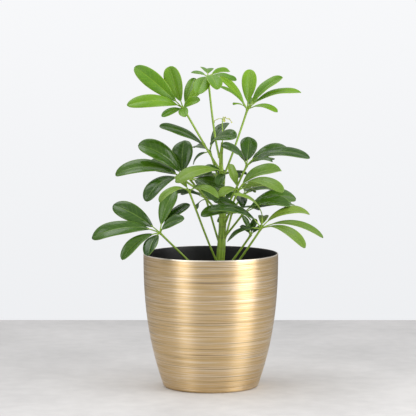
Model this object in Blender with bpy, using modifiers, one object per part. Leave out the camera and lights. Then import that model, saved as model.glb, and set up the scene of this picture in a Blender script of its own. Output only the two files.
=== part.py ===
"""Schefflera (dwarf umbrella tree) growing in a nursery pot that stands in a thin gold cover pot.

Run with blender --background --python part.py, or from Blender's text editor. Metres, +Z up.
The origin is the middle of the cover pot's flat underside. -Y is the plant's front.
"""

from math import atan2, cos, pi, radians, sin

import bmesh
import bpy
from mathutils import Vector

MM = 0.001

# Driving dimensions
GAP = 0.3 * MM                 # clearance between pieces that touch

POT_HEIGHT = 139 * MM
POT_RIM_RADIUS = 70 * MM
POT_BASE_RADIUS = 49 * MM      # where the wall would meet the floor
POT_BELLY = 2.4                # how late the wall curves in: 1 is a straight cone
POT_WALL = 1.6 * MM
POT_FOOT_ROUND = 3 * MM        # radius of the rounded bottom edge

GROW_POT_HEIGHT = 96 * MM
GROW_POT_TOP_RADIUS = 56 * MM
GROW_POT_BASE_RADIUS = 42 * MM
GROW_POT_WALL = 1.0 * MM
GROW_POT_LIP = 2.0 * MM        # how far the rolled lip stands out
DRAIN_HOLE_RADIUS = 4 * MM
DRAIN_HOLES = 6
DRAIN_CIRCLE_RADIUS = 27 * MM
DRAIN_SIDES = 12
DRILL_DEPTH = 6 * MM           # length of the cutter that makes a drain hole

SOIL_TOP = 90 * MM             # height of the soil above the floor
SOIL_DISH = 4 * MM             # how much lower the soil is round its edge
SOIL_SHOULDER = 0.6            # where the dish steepens, as a share of the soil's radius
SHOULDER_DROP = 0.2            # how much of the dish's depth is reached there
SOCKET_SLACK = 1.2 * MM        # how much wider than the stem its socket in the soil is
SOCKET_SHIFT = 0.5 * MM        # the stem leans to the right on its way up through the socket
SOCKET_RISE = 5 * MM           # how far the socket's cutter stands out of the soil
SOCKET_SIDES = 16

STEM_FOOT = 55 * MM            # the stem is buried down to here
STEM_ROUTE = (                 # right, back, up, and radius, all in mm
    (7.0, 0.0, 55.0, 5.0),
    (8.0, 0.0, 100.0, 5.0),
    (10.0, 0.0, 132.0, 4.6),
    (12.0, 1.0, 165.0, 4.0),
    (12.0, 1.0, 200.0, 3.0),
    (10.5, 1.5, 235.0, 2.1),
    (12.0, 2.0, 254.0, 1.5),
)
PETIOLE_RADIUS = 1.15 * MM
YOUNG_PETIOLE_RADIUS = 0.6 * MM
KNOB_RADIUS = 1.9 * MM         # the knob that a leaf's leaflets grow from
BLADE_THICKNESS = 0.9 * MM
YOUNG_BLADE_THICKNESS = 0.54 * MM
STALK_SHARE = 0.20             # part of a leaflet's length that is bare stalk
STALK_HALF_WIDTH = 0.7 * MM
BLADE_TAPER = 0.9              # 1 tapers straight to the blade's base; less makes the base rounder
BLADE_TIP = 0.55               # 0.5 is a round tip; more makes it pointed
BLADE_STATIONS = (0.14, 0.40, 0.66, 0.88, 0.985)
STALK_PULL = 5                 # how strongly a leaf stalk's ends point straight at the other end
STALK_HANDLE = 0.25            # length of a leaf stalk's end handles, as a share of its length
YOUNG_SHARE = 0.5              # size of the young leaf's knob against the others

# Each leaf: the height where its stalk leaves the stem, where its knob is, and the way the whorl faces.
# Each leaflet: where its tip lies from the knob, how many degrees it bends on the way there, and how wide
# its blade is as a percentage of the blade's length. Places are right, back, up in mm.
LEAVES = {
    "top_left": dict(
        tone="bright", foot=226, knob=(-28, -8, 289), facing=(-0.25, -0.85, 0.5),
        leaflets=((-50, 2, 43, 50, 35), (-15, 10, 43, 30, 48), (-57, -28, 5, 80, 31),
                  (-22, -18, -7, 60, 38), (11, 20, 31, 25, 36), (24, 2, 28, 30, 36),
                  (17, -22, 10, 60, 44), (2, -27, -7, 60, 46))),
    "top_middle": dict(
        tone="bright", foot=238, knob=(-3, 0, 322), facing=(0.1, -0.45, 0.9),
        leaflets=((-10, -35, -17, 60, 52), (9, -37, -12, 60, 50), (-17, 14, 4, 30, 40),
                  (22, 18, 5, 40, 40), (29, -6, -4, 60, 36), (-2, 40, 6, 40, 44))),
    "top_right": dict(
        tone="bright", foot=218, knob=(38, 20, 287), facing=(0.05, -0.4, 0.92),
        leaflets=((3, 18, 41, 20, 44), (37, 8, 33, 45, 38), (56, 12, 17, 70, 26), (31, -14, -2, 70, 34),
                  (-29, 10, 34, 40, 28), (-31, -14, 25, 40, 24), (-15, -18, 6, 50, 40),
                  (10, 38, 8, 60, 44))),
    "newest": dict(
        tone="young", foot=254, knob=(12, 5, 278), facing=(0.0, -0.1, 1.0),
        leaflets=((-9, 0, -4, 90, 40), (10, 0, -4, 90, 40), (2, -8, -3, 90, 40), (3, 8, 1, 60, 40))),
    "upper_left": dict(
        tone="dark", foot=214, knob=(-1, 6, 244), facing=(-0.3, -0.4, 0.86),
        leaflets=((-52, -8, 27, 50, 34), (19, 18, 29, 60, 44), (27, -40, 17, 80, 44),
                  (-16, 32, 2, 60, 44), (-17, 14, -14, 60, 44))),
    "upper_middle": dict(
        tone="light", foot=192, knob=(14, -18, 224), facing=(-0.1, -0.6, 0.80),
        leaflets=((-50, -22, -8, 80, 38), (-6, -14, -12, 60, 70), (-24, 3, 3, 70, 56))),
    "upper_right": dict(
        tone="dark", foot=184, knob=(37, 4, 229), facing=(0.2, -0.5, 0.84),
        leaflets=((3, 22, 29, 30, 62), (-26, -22, 22, 60, 50), (-8, 38, 14, 40, 44),
                  (46, 14, 14, 100, 44), (65, -8, 9, 85, 32), (26, -22, 6, 60, 36), (26, 38, 4, 60, 44))),
    "left": dict(
        tone="dark", foot=190, knob=(-29, 22, 214), facing=(-0.3, -0.6, 0.74),
        leaflets=((-46, -12, 37, 85, 46), (-70, -10, 5, 90, 36), (1, 10, 40, 40, 74),
                  (-38, 36, 14, 50, 44), (-38, -34, -20, 90, 46), (8, 38, 6, 60, 44))),
    "front_left": dict(
        tone="light", foot=128, knob=(-22, -34, 206), facing=(-0.1, -0.5, 0.86),
        leaflets=((-30, -20, -9, 100, 32), (30, -20, -5, 100, 34), (-14, 16, 14, 60, 40),
                  (18, 18, 2, 60, 40))),
    "middle": dict(
        tone="dark", foot=180, knob=(-21, -8, 216), facing=(0.1, -0.7, 0.72),
        leaflets=((34, -8, -9, 80, 50), (28, -30, -20, 70, 40), (22, -2, 8, 60, 46), (4, 32, 6, 50, 44))),
    "front_right": dict(
        tone="light", foot=168, knob=(28, -22, 206), facing=(0.2, -0.5, 0.84),
        leaflets=((44, -2, 20, 90, 46), (45, -36, 1, 90, 36), (34, 20, 2, 60, 42), (-10, -6, 27, 20, 56),
                  (-20, -18, -4, 80, 46), (16, 34, -4, 60, 42))),
    "right": dict(
        tone="dark", foot=156, knob=(33, -14, 181), facing=(0.2, -0.5, 0.84),
        leaflets=((55, 14, 15, 85, 44), (48, -16, 9, 80, 42), (52, 38, 6, 60, 42), (-43, -20, 0, 60, 42),
                  (-30, -10, 14, 70, 46), (-4, 34, 16, 50, 44))),
    "low_right": dict(
        tone="light", foot=107, knob=(51, -36, 168), facing=(0.1, -0.4, 0.91),
        leaflets=((50, 10, 14, 90, 34), (63, -12, -8, 80, 24), (43, -44, -15, 70, 28),
                  (-28, -24, 37, 100, 24), (-54, -12, 20, 90, 40), (4, 32, 10, 50, 40),
                  (-34, 4, -14, 80, 30))),
    "low_right_small": dict(
        tone="dark", foot=118, knob=(41, -20, 160), facing=(0.0, -0.5, 0.86),
        leaflets=((-9, -6, 20, 30, 44), (5, 14, 15, 20, 44), (13, 2, 9, 40, 44), (-10, 12, 8, 40, 44))),
    "low_left": dict(
        tone="dark", foot=104, knob=(-52, -30, 163), facing=(-0.35, -0.7, 0.62),
        leaflets=((-48, 6, 28, 70, 44), (-69, -12, -4, 80, 34), (-38, -22, -25, 70, 36),
                  (-11, -32, -20, 50, 52), (15, 12, 43, 50, 46), (30, 14, 28, 60, 38),
                  (25, -26, 17, 60, 46))),
    "back_left": dict(
        tone="dark", foot=148, knob=(-5, 26, 193), facing=(-0.2, 0.45, 0.87),
        leaflets=((-36, 2, 4, 60, 42), (-26, 28, 2, 60, 44), (-10, -14, -10, 60, 44),
                  (4, 36, -4, 60, 44))),
    "back_middle": dict(
        tone="dark", foot=176, knob=(8, 34, 214), facing=(0.0, 0.3, 0.95),
        leaflets=((-28, 10, 4, 60, 44), (6, -22, 10, 60, 44), (30, 2, 4, 60, 44), (22, 34, -2, 60, 44),
                  (-10, 42, -4, 60, 44))),
    "back_right": dict(
        tone="dark", foot=172, knob=(34, 36, 196), facing=(0.2, -0.3, 0.93),
        leaflets=((28, -10, 8, 60, 46), (36, 22, 0, 70, 44), (6, 38, 0, 70, 44), (-26, 22, 2, 60, 44),
                  (-18, -16, -2, 60, 44))),
    "back_low": dict(
        tone="dark", foot=141, knob=(22, 44, 176), facing=(0.0, 0.35, 0.93),
        leaflets=((-14, -14, -8, 60, 44), (20, -14, -6, 60, 44), (30, 18, 2, 60, 44), (0, 36, 0, 70, 44),
                  (-30, 16, 0, 60, 44))),
}

TUBE_STEPS = 7                 # pieces of curve along each leaf stalk
TURN_STEPS = 40                # flats round each turned piece
MERGE_DISTANCE = 0.05 * MM     # corners of a turned piece that are closer than this become one
POT_WALL_STEPS = 9             # rings up the cover pot's wall


def clear_scene():
    """Empty the scene without closing the file."""
    for old in list(bpy.data.objects):
        bpy.data.objects.remove(old, do_unlink=True)


def collection(name):
    """Make a collection and link it to the scene."""
    made = bpy.data.collections.new(name)
    bpy.context.scene.collection.children.link(made)
    return made


def material(name, colour, roughness, metallic=0.0):
    """Make a plain Principled material."""
    made = bpy.data.materials.new(name)
    made.use_nodes = True
    shader = made.node_tree.nodes["Principled BSDF"]
    shader.inputs["Base Color"].default_value = (*colour, 1.0)
    shader.inputs["Roughness"].default_value = roughness
    shader.inputs["Metallic"].default_value = metallic
    made.diffuse_color = (*colour, 1.0)
    return made


def add_object(name, data, paint, home):
    """Link a new object that carries one material."""
    made = bpy.data.objects.new(name, data)
    data.materials.append(paint)
    home.objects.link(made)
    return made


def turned(name, outline, paint, home):
    """Turn an outline of (radius, height) points about the Z axis into a closed solid.

    The outline starts on the axis inside, climbs the inner wall, and comes down the outer one.
    """
    mesh = bpy.data.meshes.new(name)
    shape = bmesh.new()
    corners = [shape.verts.new((radius, 0, height)) for radius, height in outline]
    for first, second in zip(corners, corners[1:]):
        shape.edges.new((first, second))
    shape.to_mesh(mesh)
    shape.free()
    made = add_object(name, mesh, paint, home)
    screw = made.modifiers.new("Turn", "SCREW")
    screw.axis = "Z"
    screw.steps = TURN_STEPS
    screw.render_steps = TURN_STEPS
    screw.use_merge_vertices = True
    screw.merge_threshold = MERGE_DISTANCE
    return made


def pot_wall_radius(height):
    """Outer radius of the cover pot at a height: a cone that bellies out towards the rim."""
    depth = 1 - height / POT_HEIGHT
    return POT_RIM_RADIUS - (POT_RIM_RADIUS - POT_BASE_RADIUS) * depth ** POT_BELLY


def cover_pot_outline():
    """Half section of the cover pot, from the middle of its floor inside to the middle of its underside."""
    climb = POT_HEIGHT - POT_FOOT_ROUND
    levels = [POT_FOOT_ROUND + climb * step / POT_WALL_STEPS for step in range(POT_WALL_STEPS + 1)]
    inside = [(pot_wall_radius(level) - POT_WALL, level) for level in levels]
    outside = [(pot_wall_radius(level), level) for level in reversed(levels)]
    foot_centre = pot_wall_radius(POT_FOOT_ROUND) - POT_FOOT_ROUND
    foot = []
    for turn in (30, 60, 90):
        out, drop = cos(radians(turn)), sin(radians(turn))
        foot.append((foot_centre + POT_FOOT_ROUND * out, POT_FOOT_ROUND * (1 - drop)))
    floor = [(0, POT_WALL), (inside[0][0] - POT_WALL, POT_WALL)]
    return floor + inside + outside + foot + [(0, 0)]


def build_cover_pot(paint, home):
    return turned("cover_pot", cover_pot_outline(), paint, home)


def grow_pot_radius(height):
    """Outer radius of the nursery pot at a height above its own floor."""
    share = height / GROW_POT_HEIGHT
    return GROW_POT_BASE_RADIUS + (GROW_POT_TOP_RADIUS - GROW_POT_BASE_RADIUS) * share


def build_grow_pot(paint, home, cutters):
    """Black nursery pot with a turned-out lip and a ring of drain holes in its floor."""
    stand = POT_WALL + GAP
    wall, lip = GROW_POT_WALL, GROW_POT_LIP
    top = GROW_POT_HEIGHT
    outline = [
        (0, stand + wall),
        (GROW_POT_BASE_RADIUS - wall, stand + wall),
        (grow_pot_radius(top) - wall, stand + top),
        (grow_pot_radius(top) + lip, stand + top),
        (grow_pot_radius(top) + lip, stand + top - 2 * lip),
        (grow_pot_radius(top) + lip - wall, stand + top - 2 * lip),
        (grow_pot_radius(top) + lip - wall, stand + top - wall),
        (grow_pot_radius(top - wall), stand + top - wall),
        (GROW_POT_BASE_RADIUS, stand),
        (0, stand),
    ]
    made = turned("grow_pot", outline, paint, home)
    for number in range(DRAIN_HOLES):
        angle = 2 * pi * number / DRAIN_HOLES
        place = Vector((cos(angle), sin(angle), 0)) * DRAIN_CIRCLE_RADIUS + Vector((0, 0, stand))
        drill(made, f"drain_cutter_{number}", place, DRAIN_HOLE_RADIUS, DRILL_DEPTH, DRAIN_SIDES, cutters)
    return made


def drill(target, name, place, radius, depth, sides, cutters):
    """Cut a round hole with an upright cylinder centred on a place."""
    mesh = bpy.data.meshes.new(name)
    shape = bmesh.new()
    bmesh.ops.create_cone(shape, cap_ends=True, segments=sides, radius1=radius, radius2=radius, depth=depth)
    shape.to_mesh(mesh)
    shape.free()
    cutter = bpy.data.objects.new(name, mesh)
    cutters.objects.link(cutter)
    cutter.location = place
    cutter.hide_render = True
    cutter.display_type = "WIRE"
    cut = target.modifiers.new(name, "BOOLEAN")
    cut.operation = "DIFFERENCE"
    cut.object = cutter


def build_potting_soil(paint, home, cutters):
    """Root ball: it fills the nursery pot, is dished towards the edge, and has a socket for the stem."""
    inset = GROW_POT_WALL + GAP
    stand = POT_WALL + GAP
    floor = stand + inset
    edge = SOIL_TOP - SOIL_DISH

    def radius(height):
        return grow_pot_radius(height - stand) - inset

    shoulder = (radius(edge) * SOIL_SHOULDER, SOIL_TOP - SHOULDER_DROP * SOIL_DISH)
    outline = [(0, SOIL_TOP), shoulder, (radius(edge), edge), (radius(floor), floor), (0, floor)]
    made = turned("potting_soil", outline, paint, home)
    middle, width = stem_at(STEM_FOOT)
    socket_top = SOIL_TOP + SOCKET_RISE
    depth = socket_top - STEM_FOOT + GAP
    place = Vector((middle.x + SOCKET_SHIFT, middle.y, socket_top - depth / 2))
    drill(made, "stem_socket_cutter", place, width + SOCKET_SLACK, depth, SOCKET_SIDES, cutters)
    return made


def smooth_route(points, steps):
    """Catmull-Rom points through a list of vectors, with the same number of steps in each span."""
    padded = [2 * points[0] - points[1], *points, 2 * points[-1] - points[-2]]
    route = []
    for before, start, end, after in zip(padded, padded[1:], padded[2:], padded[3:]):
        for step in range(steps):
            t = step / steps
            route.append(0.5 * (2 * start + (end - before) * t
                                + (2 * before - 5 * start + 4 * end - after) * t * t
                                + (3 * start - before - 3 * end + after) * t ** 3))
    route.append(points[-1].copy())
    return route


def stem_at(height):
    """Middle and radius of the main stem at a height."""
    for low, high in zip(STEM_ROUTE, STEM_ROUTE[1:]):
        if height <= high[2] * MM:
            break
    share = (height / MM - low[2]) / (high[2] - low[2])
    x, y, _, radius = (a + (b - a) * share for a, b in zip(low, high))
    return Vector((x * MM, y * MM, height)), radius * MM


def tube(name, route, widths, paint, home, sides=2):
    """A round tube along a route, with its radius given at each point."""
    curve = bpy.data.curves.new(name, "CURVE")
    curve.dimensions = "3D"
    curve.bevel_depth = 1.0
    curve.bevel_resolution = sides
    curve.use_fill_caps = True
    line = curve.splines.new("POLY")
    line.points.add(len(route) - 1)
    for point, place, width in zip(line.points, route, widths):
        point.co = (*place, 1.0)
        point.radius = width
    return add_object(name, curve, paint, home)


def build_main_stem(paint, home):
    points = [Vector(stop[:3]) * MM for stop in STEM_ROUTE]
    route = smooth_route(points, 2)
    widths = [stem_at(place.z)[1] for place in route]
    return tube("main_stem", route, widths, paint, home, sides=3)


def stalk_route(leaf):
    """Leaf stalk: it leaves the stem slanting upwards and meets the back of the knob."""
    radius = YOUNG_PETIOLE_RADIUS if leaf["tone"] == "young" else PETIOLE_RADIUS
    up = Vector((0, 0, 1))
    facing = Vector(leaf["facing"]).normalized()
    knob = Vector(leaf["knob"]) * MM
    middle, stem_radius = stem_at(leaf["foot"] * MM)
    direct = (knob - middle).normalized()
    if leaf["tone"] == "young":
        leave = up
        start = middle + up * GAP
    else:
        outward = Vector((direct.x, direct.y, 0)).normalized()
        leave = (outward + up + STALK_PULL * direct).normalized()
        start = middle + outward * (stem_radius + radius * leave.z + 1.5 * GAP)
    arrive = (facing + STALK_PULL * direct).normalized()
    tilt = (1 - arrive.dot(facing) ** 2) ** 0.5
    end = knob - facing * (BLADE_THICKNESS / 2 + GAP + radius * tilt + 0.5 * GAP)
    reach = (end - start).length
    first = start + leave * reach * STALK_HANDLE
    last = end - arrive * reach * STALK_HANDLE
    route = []
    for step in range(TUBE_STEPS + 1):
        t = step / TUBE_STEPS
        route.append(start * (1 - t) ** 3 + first * 3 * t * (1 - t) ** 2
                     + last * 3 * t * t * (1 - t) + end * t ** 3)
    return route, [radius] * len(route)


def build_petiole(name, leaf, paint, home):
    route, widths = stalk_route(leaf)
    return tube(f"petiole_{name}", route, widths, paint, home)


def leaflet_arc(reach, facing, bend, share):
    """Point, and direction across the blade, at a share of the way along a leaflet's arc."""
    along = reach.normalized()
    above = (facing - facing.dot(along) * along).normalized()
    curl = reach.length / (2 * sin(bend / 2))
    turn = bend * (share - 0.5)
    forward = reach.length / 2 + curl * sin(turn)
    rise = curl * (cos(turn) - cos(bend / 2))
    return along * forward + above * rise, along.cross(above)


def blade_outline(share):
    """A blade's width at a share of its length, over its greatest width."""
    broadest = BLADE_TAPER / (BLADE_TAPER + BLADE_TIP)
    peak = broadest ** BLADE_TAPER * (1 - broadest) ** BLADE_TIP
    return share ** BLADE_TAPER * (1 - share) ** BLADE_TIP / peak


def build_leaflets(name, leaf, paint, home):
    """Whorl of leaflets: each edge of the knob's disc is extruded out into a stalk and a blade."""
    young = leaf["tone"] == "young"
    facing = Vector(leaf["facing"]).normalized()
    side = facing.orthogonal().normalized()
    front = facing.cross(side)
    leaflets = sorted(leaf["leaflets"], key=lambda leaflet: clock(Vector(leaflet[:3]), side, front))
    count = len(leaflets)
    slots = [2 * pi * number / count for number in range(count)]
    lag = mean_lag([clock(Vector(leaflet[:3]), side, front) for leaflet in leaflets], slots)
    shape = bmesh.new()
    rim = []
    for slot in slots:
        angle = slot + lag - pi / count
        spoke = side * cos(angle) + front * sin(angle)
        rim.append(shape.verts.new(spoke * KNOB_RADIUS * (YOUNG_SHARE if young else 1)))
    shape.faces.new(rim)
    for left, right, leaflet in zip(rim, rim[1:] + rim[:1], leaflets):
        grow_leaflet(shape, left, right, leaflet, facing, young)
    bmesh.ops.recalc_face_normals(shape, faces=shape.faces)
    mesh = bpy.data.meshes.new(f"leaflets_{name}")
    shape.to_mesh(mesh)
    shape.free()
    made = add_object(mesh.name, mesh, paint, home)
    made.location = Vector(leaf["knob"]) * MM
    thick = made.modifiers.new("Thickness", "SOLIDIFY")
    thick.thickness = YOUNG_BLADE_THICKNESS if young else BLADE_THICKNESS
    thick.offset = 0.0
    return made


def clock(reach, side, front):
    """Angle of a direction round the knob."""
    return atan2(reach.dot(front), reach.dot(side)) % (2 * pi)


def mean_lag(angles, slots):
    """Turn that brings evenly spaced slots closest to the leaflets' own angles."""
    east = sum(cos(angle - slot) for angle, slot in zip(angles, slots))
    north = sum(sin(angle - slot) for angle, slot in zip(angles, slots))
    return atan2(north, east)


def grow_leaflet(shape, left, right, leaflet, facing, young):
    """Extrude the knob's edge between two corners outwards, station by station, to the leaflet's tip."""
    reach = Vector(leaflet[:3]) * MM
    bend = radians(leaflet[3])
    broadest = reach.length * (1 - STALK_SHARE) * leaflet[4] / 100
    stations = [(STALK_SHARE, STALK_HALF_WIDTH * (YOUNG_SHARE if young else 1))]
    for share in BLADE_STATIONS:
        half_width = max(blade_outline(share) * broadest / 2, stations[0][1])
        stations.append((STALK_SHARE + share * (1 - STALK_SHARE), half_width))
    mirrored = (left.co - right.co).dot(leaflet_arc(reach, facing, bend, 0)[1]) < 0
    for share, half_width in stations:
        edge = shape.edges.get((left, right))
        grown = bmesh.ops.extrude_edge_only(shape, edges=[edge])["geom"]
        ends = [part for part in grown if isinstance(part, bmesh.types.BMVert)]
        if shape.edges.get((left, ends[0])) is None:
            ends.reverse()
        left, right = ends
        place, across = leaflet_arc(reach, facing, bend, share)
        offset = across * (-half_width if mirrored else half_width)
        left.co = place + offset
        right.co = place - offset


def build():
    clear_scene()
    home = collection("schefflera_in_gold_pot")
    cutters = collection("cutters")
    gold = material("brushed_gold", (0.62, 0.45, 0.2), 0.35, 1.0)
    black = material("black_plastic", (0.02, 0.02, 0.02), 0.55)
    soil = material("potting_mix", (0.05, 0.035, 0.02), 0.95)
    green_stem = material("green_stem", (0.16, 0.35, 0.05), 0.5)
    green_stalk = material("green_stalk", (0.25, 0.42, 0.08), 0.5)
    bright_leaf = material("bright_leaf", (0.2, 0.4, 0.04), 0.4)
    dark_leaf = material("dark_leaf", (0.04, 0.15, 0.02), 0.3)
    young_leaf = material("young_leaf", (0.6, 0.62, 0.25), 0.5)
    blades = {"bright": bright_leaf, "light": bright_leaf, "dark": dark_leaf, "young": young_leaf}
    build_cover_pot(gold, home)
    build_grow_pot(black, home, cutters)
    build_potting_soil(soil, home, cutters)
    build_main_stem(green_stem, home)
    for name, leaf in LEAVES.items():
        build_petiole(name, leaf, green_stalk, home)
        build_leaflets(name, leaf, blades[leaf["tone"]], home)


build()
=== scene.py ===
# %% [markdown]
# # A young schefflera in a gold cover pot
#
# This notebook dresses a finished CAD model. The model already says where each leaf, stalk and pot is and
# how big it is; here each of them gets its real surface. A schefflera is a good plant to learn on, because
# it is made of one shape repeated with changes: a leaflet. Leaflets stand round a knob like the ribs of an
# umbrella, the knob sits on a long leaf stalk, and the stalks leave one green stem.
#
# The model is loaded first and kept fixed. Everything is in metres, with Z up and the plant's front at -Y.

# %% Load the CAD model
from math import cos, exp, pi, radians, sin

import bmesh
import bpy
from mathutils import Euler, Matrix, Vector, noise


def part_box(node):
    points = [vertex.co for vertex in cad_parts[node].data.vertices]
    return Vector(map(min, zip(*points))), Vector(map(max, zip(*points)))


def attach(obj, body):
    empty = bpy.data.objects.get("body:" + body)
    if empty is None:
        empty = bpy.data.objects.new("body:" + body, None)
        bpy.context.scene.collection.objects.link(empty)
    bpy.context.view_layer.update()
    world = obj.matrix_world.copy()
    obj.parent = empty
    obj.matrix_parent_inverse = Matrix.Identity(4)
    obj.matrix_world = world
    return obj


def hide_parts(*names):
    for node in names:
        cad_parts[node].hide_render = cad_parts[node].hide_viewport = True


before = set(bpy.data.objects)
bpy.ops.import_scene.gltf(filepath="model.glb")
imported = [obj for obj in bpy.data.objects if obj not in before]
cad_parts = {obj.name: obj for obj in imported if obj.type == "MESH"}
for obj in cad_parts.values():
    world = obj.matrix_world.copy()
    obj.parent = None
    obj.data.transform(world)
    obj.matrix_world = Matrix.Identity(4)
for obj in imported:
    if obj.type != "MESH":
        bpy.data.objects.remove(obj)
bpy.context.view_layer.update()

MM = 0.001

# %% [markdown]
# ## The camera
#
# A long lens from more than two metres away flattens the pot's rim to a thin ellipse. The camera stands a
# little above the plant and looks down at the pot, so both the rim and the foot of the pot are seen from
# slightly above.

# %% Camera
CAMERA_DISTANCE = 2.2
CAMERA_HEIGHT = 0.39
CAMERA_LENS = 184.4
CAMERA_TILT = 5.30             # degrees below the horizon
CAMERA_TURN = 0.076            # degrees to the left

lens = bpy.data.cameras.new("camera")
lens.lens = CAMERA_LENS
lens.clip_end = 20
camera = bpy.data.objects.new("camera", lens)
bpy.context.scene.collection.objects.link(camera)
camera.location = (0, -CAMERA_DISTANCE, CAMERA_HEIGHT)
camera.rotation_euler = (radians(90 - CAMERA_TILT), 0, radians(CAMERA_TURN))
bpy.context.scene.camera = camera
print("camera at", tuple(camera.location))

# %% [markdown]
# ## The table, the light and the world
#
# The plant stands on a pale concrete table top in front of a white wall. The table ends a little way behind
# the pot, which gives the horizon; the wall is left to the world's plain colour, so that nothing blocks the
# view from behind. Brushed metal shows its surroundings as upright bands, so the light comes from two tall
# softboxes, a strong one to the right and a weaker one to the left, with a dim room between them. A third
# hangs above and a little behind the plant, for the upper sides of its leaves.

# %% Helper for objects
def new_object(name, data, *materials):
    """Link an object with its material slots."""
    made = bpy.data.objects.new(name, data)
    for finish in materials:
        data.materials.append(finish)
    bpy.context.scene.collection.objects.link(made)
    return made


print("ready:", new_object.__name__)

# %% [markdown]
# Every finish here is a small tree of shader nodes. Written out in full, each node takes four or five
# lines, so a few helpers add one in a single line: a node with its inputs, a material, a colour ramp, a
# mix, a sum, a bump.

# %% Helpers for shader nodes
def add_node(tree, kind, inputs=None, **settings):
    """Add a node, set its properties, and fill its inputs with values or links."""
    made = tree.nodes.new(kind)
    for key, value in settings.items():
        setattr(made, key, value)
    for key, value in (inputs or {}).items():
        if isinstance(value, bpy.types.NodeSocket):
            tree.links.new(value, made.inputs[key])
        else:
            made.inputs[key].default_value = value
    return made


def new_material(name, colour, roughness, **sockets):
    """A Principled material. The values that are the same all over are set on the shader's own sockets."""
    made = bpy.data.materials.new(name)
    made.use_nodes = True
    shader = made.node_tree.nodes["Principled BSDF"]
    shader.inputs["Base Color"].default_value = (*colour, 1)
    shader.inputs["Roughness"].default_value = roughness
    for key, value in sockets.items():
        shader.inputs[key.replace("_", " ")].default_value = value
    return made, made.node_tree, shader


def ramp(tree, factor, *stops):
    """A colour ramp with (place, colour) stops."""
    made = add_node(tree, "ShaderNodeValToRGB", {"Fac": factor})
    band = made.color_ramp
    band.elements[0].position, band.elements[0].color = stops[0][0], (*stops[0][1], 1)
    band.elements[1].position, band.elements[1].color = stops[-1][0], (*stops[-1][1], 1)
    for place, colour in stops[1:-1]:
        band.elements.new(place).color = (*colour, 1)
    return made.outputs["Color"]


def mix_colour(tree, factor, first, second):
    """Mix two colours, each a value or a link."""
    made = tree.nodes.new("ShaderNodeMix")
    made.data_type = "RGBA"
    for socket, value in ((made.inputs[0], factor), (made.inputs[6], first), (made.inputs[7], second)):
        if isinstance(value, bpy.types.NodeSocket):
            tree.links.new(value, socket)
        elif isinstance(value, tuple):
            socket.default_value = (*value, 1)
        else:
            socket.default_value = value
    return made.outputs[2]


def math_node(tree, operation, first, second=None):
    """One arithmetic step on values or links."""
    made = tree.nodes.new("ShaderNodeMath")
    made.operation = operation
    for socket, value in zip(made.inputs, (first, second)):
        if isinstance(value, bpy.types.NodeSocket):
            tree.links.new(value, socket)
        elif value is not None:
            socket.default_value = value
    return made.outputs[0]


def bump(tree, shader, height, strength, distance):
    """Feed a height to the shader's normal."""
    made = add_node(tree, "ShaderNodeBump", {"Height": height, "Strength": strength, "Distance": distance})
    tree.links.new(made.outputs["Normal"], shader.inputs["Normal"])


print("ready:", add_node.__name__, new_material.__name__, ramp.__name__, bump.__name__)

# %% [markdown]
# ### A shared effect: mottling
#
# Concrete, soil, bark and skin all need uneven tone. One node group makes it: noise at two scales, from
# Object coordinates, put out as a single value. Each material then colours it its own way.

# %% Node group: mottle
def make_mottle_group():
    """Two scales of noise mixed to one value between 0 and 1."""
    group = bpy.data.node_groups.new("mottle", "ShaderNodeTree")
    for name, default in (("Patch Scale", 30.0), ("Grain Scale", 400.0), ("Grain Share", 0.4)):
        socket = group.interface.new_socket(name=name, in_out="INPUT", socket_type="NodeSocketFloat")
        socket.default_value = default
    group.interface.new_socket(name="Value", in_out="OUTPUT", socket_type="NodeSocketFloat")
    entry = group.nodes.new("NodeGroupInput")
    leave = group.nodes.new("NodeGroupOutput")
    spot = group.nodes.new("ShaderNodeTexCoord").outputs["Object"]
    patches = add_node(group, "ShaderNodeTexNoise", {"Vector": spot, "Scale": entry.outputs["Patch Scale"],
                                                     "Detail": 3.0})
    grain = add_node(group, "ShaderNodeTexNoise", {"Vector": spot, "Scale": entry.outputs["Grain Scale"],
                                                   "Detail": 2.0})
    both = group.nodes.new("ShaderNodeMix")
    group.links.new(entry.outputs["Grain Share"], both.inputs[0])
    group.links.new(patches.outputs["Fac"], both.inputs[2])
    group.links.new(grain.outputs["Fac"], both.inputs[3])
    group.links.new(both.outputs[0], leave.inputs["Value"])
    return group


MOTTLE = make_mottle_group()


def mottle(tree, patch_scale, grain_scale, grain_share):
    """Place the mottle group in a material, with so many patches and grains to a metre."""
    made = tree.nodes.new("ShaderNodeGroup")
    made.node_tree = MOTTLE
    made.inputs["Patch Scale"].default_value = patch_scale
    made.inputs["Grain Scale"].default_value = grain_scale
    made.inputs["Grain Share"].default_value = grain_share
    return made.outputs["Value"]


print("group:", MOTTLE.name)

# %% Table top
TABLE_BACK = 0.47              # how far behind the pot the table ends
TABLE_FRONT = -3.2
TABLE_HALF_WIDTH = 2.5
# painted light: from the back edge to here the table's colour grows lighter, standing in for the stronger
# light at the front
TABLE_FULL_PAINTED_LIGHT = -0.35         # from here to its front edge the table is at its lightest


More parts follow.
